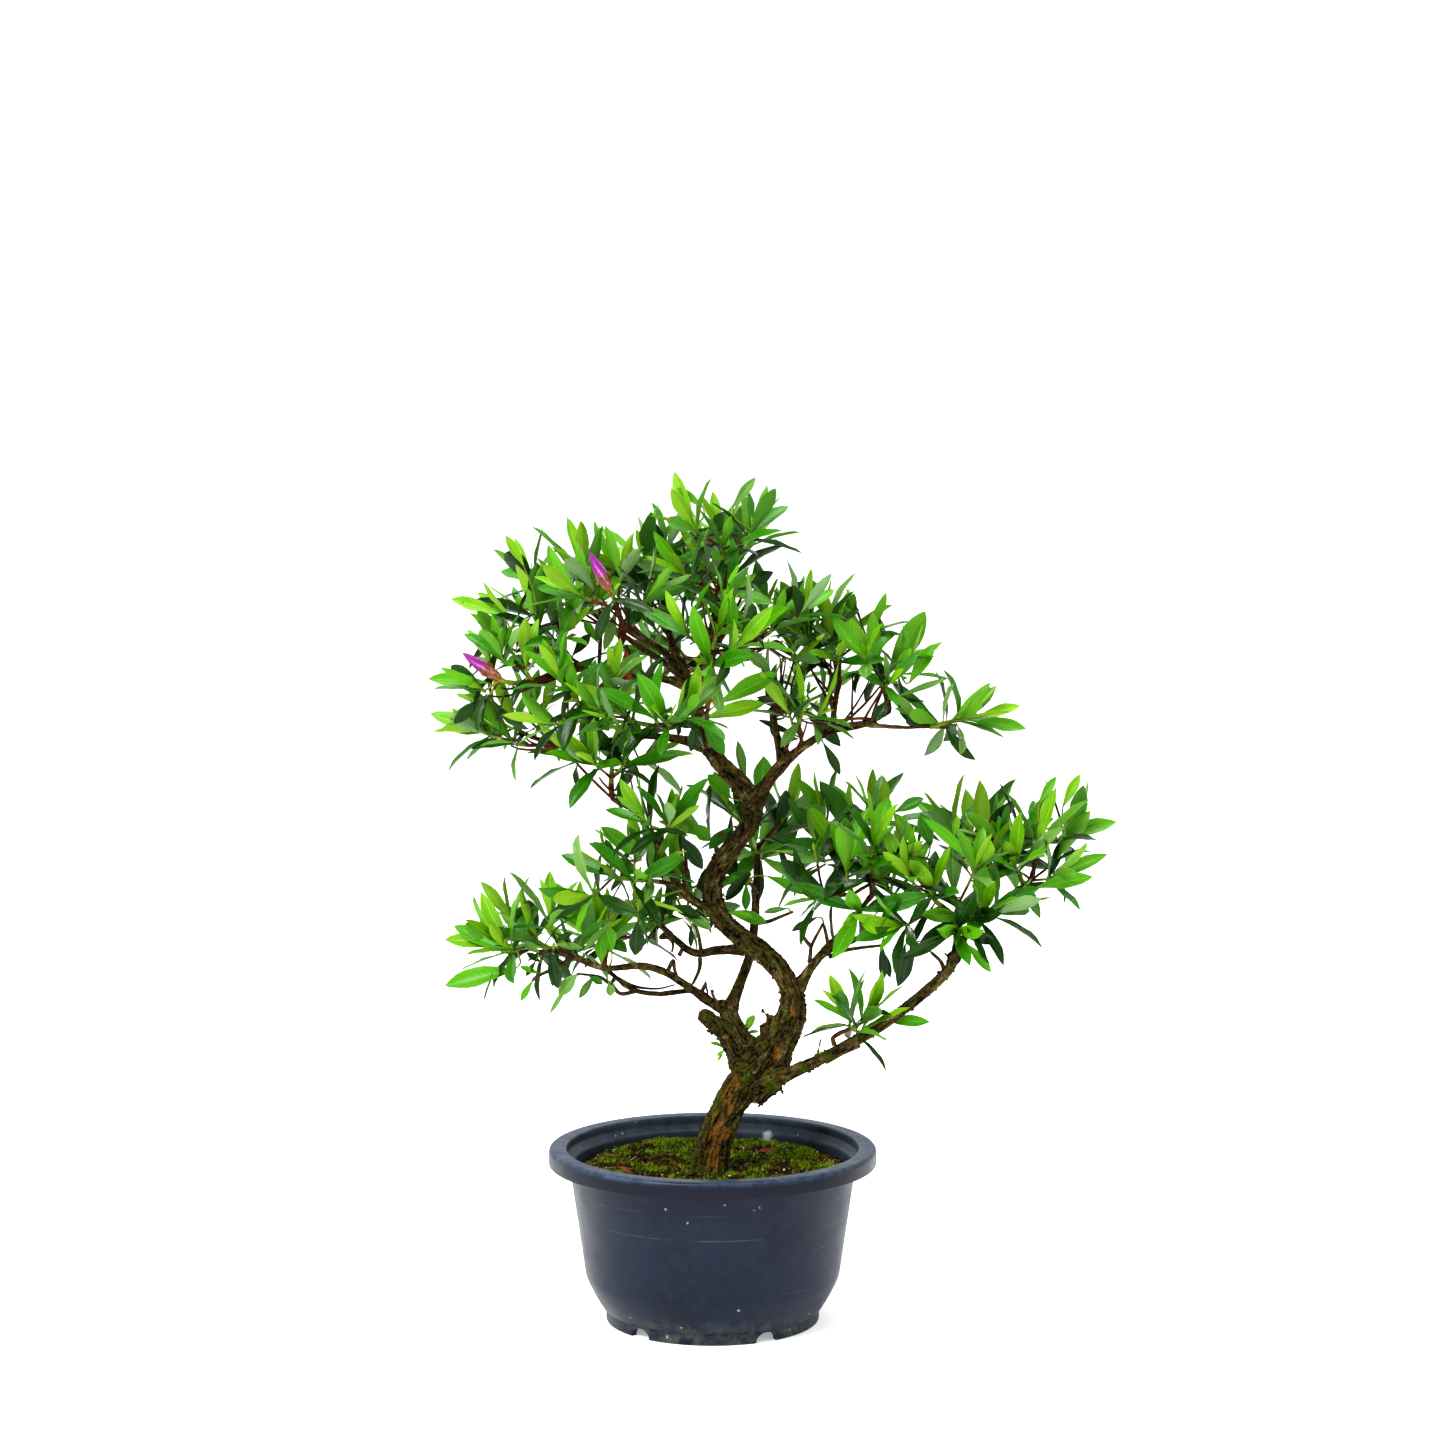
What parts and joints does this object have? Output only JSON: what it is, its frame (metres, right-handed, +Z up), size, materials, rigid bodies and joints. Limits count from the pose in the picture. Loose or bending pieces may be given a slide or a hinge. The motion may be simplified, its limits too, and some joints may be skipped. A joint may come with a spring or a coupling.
{
  "type": "azalea bonsai in a training pot",
  "caption": "Azalea bonsai with an S-curved tapering trunk, tiered boughs of small leaves and two flower buds, in a round plastic training pot with mossy soil.",
  "frame": {"origin": "on the pot's axis, in the plane of the pot's foot, which is the plane that the plant stands on", "axes": "+Z up along the pot's axis; +X towards the long low right-hand bough; -Y towards the plant's front"},
  "size_m": [0.3596, 0.2052, 0.4662],
  "materials": {
    "plastic": "satin",
    "soil": "matte",
    "bark": "matte",
    "foliage": "satin"
  },
  "bodies": {
    "root": {"pot": "plastic", "soil": "soil", "trunk": "bark", "left_trunk": "bark", "cut_stub": "bark", "back_stem": "bark", "low_left_bough": "bark", "low_left_under": "bark", "side_left_bough": "bark", "rising_left_bough": "bark", "rising_left_twig": "bark", "high_left_bough": "bark", "right_bough": "bark", "right_bough_up": "bark", "right_upper_twig": "bark", "right_far_twig": "bark", "low_right_bough": "bark", "low_right_far": "bark", "mid_right_bough": "bark", "mid_right_back": "bark", "top_left_fork": "bark", "top_mid_fork": "bark", "top_right_fork": "bark", "top_back_fork": "bark", "top_back_left": "bark", "shoulder_fork": "bark", "left_fork": "bark", "apex_front": "foliage", "apex_back": "foliage", "bud_spray_upper": "foliage", "crown_left_mid": "foliage", "crown_left_back": "foliage", "left_high": "foliage", "bud_spray_left": "foliage", "left_low": "foliage", "left_inner": "foliage", "front_row": "foliage", "under_left": "foliage", "crown_core": "foliage", "right_shoulder": "foliage", "right_upper": "foliage", "right_mid": "foliage", "right_end": "foliage", "right_tip": "foliage", "right_small": "foliage", "left_low_end": "foliage", "left_low_back": "foliage", "left_rise_front": "foliage", "left_rise_mid": "foliage", "left_inner_low": "foliage", "back_stem_mass": "foliage", "right_low_inner": "foliage", "right_low_back": "foliage", "right_low_front": "foliage", "right_low_upper": "foliage", "right_low_end": "foliage", "right_low_side": "foliage", "low_shoot": "foliage", "crown_back": "foliage", "right_back": "foliage"}
  },
  "joints": []
}
